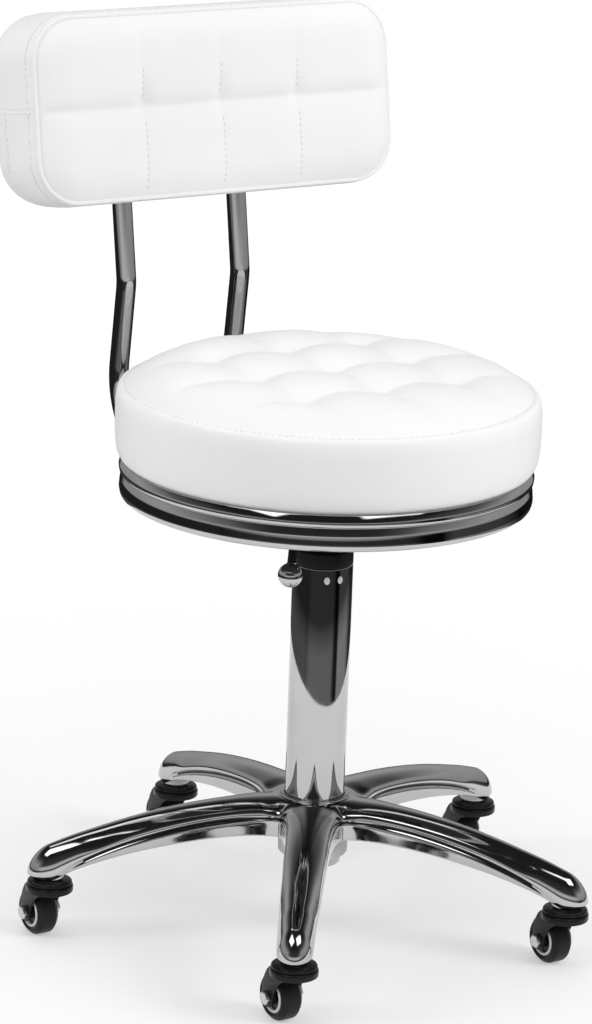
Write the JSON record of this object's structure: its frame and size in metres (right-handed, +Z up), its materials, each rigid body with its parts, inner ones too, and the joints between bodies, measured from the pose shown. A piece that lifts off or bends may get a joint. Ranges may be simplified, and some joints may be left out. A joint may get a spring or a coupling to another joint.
{
  "type": "salon stool",
  "caption": "Round quilted salon stool with a padded backrest on bent tubes, gas lift with lever, and a star base on swivel casters.",
  "frame": {"origin": "on the floor under the column axis", "axes": "+Z up along the column, +Y to the backrest, +X to the right seen from the front"},
  "size_m": [0.4632, 0.4809, 0.7499],
  "materials": {
    "polished_alloy": "polished bright",
    "chrome_steel": "bright chrome plate",
    "black_plastic": "moulded black",
    "bright_steel": "ground",
    "zinc_steel": "zinc plated",
    "black_steel": "gloss black coat",
    "black_rubber": "smooth black",
    "wheel_core": "moulded, bright outer ring",
    "plywood": "raw birch plywood",
    "foam": "open-cell foam",
    "white_leatherette": "smooth white, stitched"
  },
  "bodies": {
    "base": {"star_base": "polished_alloy", "column_tube": "chrome_steel", "guide_bush": "black_plastic", "lower_race": "bright_steel", "bearing_balls": "bright_steel", "caster_stems": "zinc_steel", "caster_races": "black_steel"},
    "lift_rod": {"piston_rod": "bright_steel", "piston_head": "black_plastic", "upper_race": "bright_steel", "bump_stop": "black_rubber", "rod_washer": "bright_steel", "rod_clip": "bright_steel"},
    "seat": {"pressure_cylinder": "black_steel", "rod_gland": "black_plastic", "plate_socket": "black_steel", "seat_plate": "black_steel", "seat_bolts": "zinc_steel", "seat_tee_nuts": "zinc_steel", "seat_board": "plywood", "seat_ring": "chrome_steel", "ring_screws": "zinc_steel", "seat_foam": "foam", "seat_cover": "white_leatherette", "back_tube_left": "chrome_steel", "back_tube_right": "chrome_steel", "tube_caps": "black_plastic", "tube_bolts": "zinc_steel", "tube_tee_nuts": "zinc_steel", "back_board": "plywood", "back_foam": "foam", "back_cover": "white_leatherette", "back_screws": "zinc_steel", "lever_pivot": "bright_steel"},
    "lever": {"lever_rod": "black_steel", "lever_ball": "chrome_steel"},
    "valve_pin": {"release_pin": "bright_steel"},
    "caster_1": {"fork_1": "black_steel", "axle_1": "zinc_steel"},
    "wheel_1": {"wheel_hub_1": "wheel_core", "wheel_tread_1": "black_rubber"},
    "caster_2": {"fork_2": "black_steel", "axle_2": "zinc_steel"},
    "wheel_2": {"wheel_hub_2": "wheel_core", "wheel_tread_2": "black_rubber"},
    "caster_3": {"fork_3": "black_steel", "axle_3": "zinc_steel"},
    "wheel_3": {"wheel_hub_3": "wheel_core", "wheel_tread_3": "black_rubber"},
    "caster_4": {"fork_4": "black_steel", "axle_4": "zinc_steel"},
    "wheel_4": {"wheel_hub_4": "wheel_core", "wheel_tread_4": "black_rubber"},
    "caster_5": {"fork_5": "black_steel", "axle_5": "zinc_steel"},
    "wheel_5": {"wheel_hub_5": "wheel_core", "wheel_tread_5": "black_rubber"}
  },
  "joints": [
    {"name": "seat_swivel", "type": "hinge", "parent": "base", "child": "lift_rod", "pos_m": [0, 0, 0.066], "axis": [0, 0, 1], "continuous": true},
    {"name": "seat_height", "type": "slide", "parent": "lift_rod", "child": "seat", "axis": [0, 0, 1], "range_m": [0, 0.13]},
    {"name": "lever_lift", "type": "hinge", "parent": "seat", "child": "lever", "pos_m": [-0.02311, -0.02066, 0.3603], "axis": [-0.6665, 0.7455, 0], "range_deg": [0, 6.5]},
    {"name": "valve_press", "type": "slide", "parent": "seat", "child": "valve_pin", "axis": [0, 0, -1], "range_m": [0, 0.0036]},
    {"name": "caster_swivel_1", "type": "hinge", "parent": "base", "child": "caster_1", "pos_m": [0, 0.224, 0.05], "axis": [0, 0, 1], "continuous": true},
    {"name": "wheel_roll_1", "type": "hinge", "parent": "caster_1", "child": "wheel_1", "pos_m": [0, 0.242, 0.02], "axis": [1, 0, 0], "continuous": true},
    {"name": "caster_swivel_2", "type": "hinge", "parent": "base", "child": "caster_2", "pos_m": [-0.21304, 0.06922, 0.05], "axis": [0, 0, 1], "continuous": true},
    {"name": "wheel_roll_2", "type": "hinge", "parent": "caster_2", "child": "wheel_2", "pos_m": [-0.21304, 0.08722, 0.02], "axis": [1, 0, 0], "continuous": true},
    {"name": "caster_swivel_3", "type": "hinge", "parent": "base", "child": "caster_3", "pos_m": [-0.13166, -0.18122, 0.05], "axis": [0, 0, 1], "continuous": true},
    {"name": "wheel_roll_3", "type": "hinge", "parent": "caster_3", "child": "wheel_3", "pos_m": [-0.13166, -0.16322, 0.02], "axis": [1, 0, 0], "continuous": true},
    {"name": "caster_swivel_4", "type": "hinge", "parent": "base", "child": "caster_4", "pos_m": [0.13166, -0.18122, 0.05], "axis": [0, 0, 1], "continuous": true},
    {"name": "wheel_roll_4", "type": "hinge", "parent": "caster_4", "child": "wheel_4", "pos_m": [0.13166, -0.16322, 0.02], "axis": [1, 0, 0], "continuous": true},
    {"name": "caster_swivel_5", "type": "hinge", "parent": "base", "child": "caster_5", "pos_m": [0.21304, 0.06922, 0.05], "axis": [0, 0, 1], "continuous": true},
    {"name": "wheel_roll_5", "type": "hinge", "parent": "caster_5", "child": "wheel_5", "pos_m": [0.21304, 0.08722, 0.02], "axis": [1, 0, 0], "continuous": true}
  ],
  "couplings": [
    {"joint": "valve_press", "follows": "lever_lift", "m_per_rad": 0.031}
  ]
}
